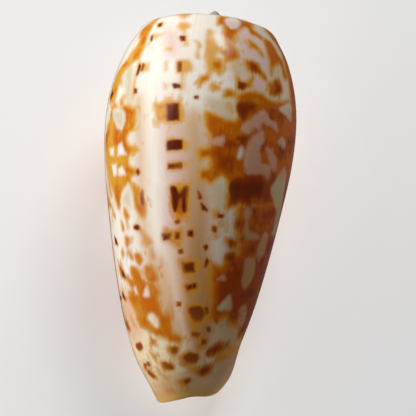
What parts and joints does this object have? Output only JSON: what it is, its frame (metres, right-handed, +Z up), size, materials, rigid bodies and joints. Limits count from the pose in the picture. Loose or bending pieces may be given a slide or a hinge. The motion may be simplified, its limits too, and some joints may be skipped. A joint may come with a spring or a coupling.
{
  "type": "cone shell",
  "caption": "Inflated, glossy cone-shaped sea-snail shell with a low stepped spire and a long slit aperture, lying on the aperture.",
  "frame": {"origin": "middle of the underside, on the surface that the shell lies on", "axes": "+Y towards the spire, +Z up through the back of the shell, +X to the right when the back is seen from above with the spire away"},
  "size_m": [0.0284, 0.0592, 0.0262],
  "materials": {
    "shell": "glossy porcelain-like shell, cream with orange and brown blotches"
  },
  "bodies": {
    "root": {"shell": "shell"}
  },
  "joints": []
}
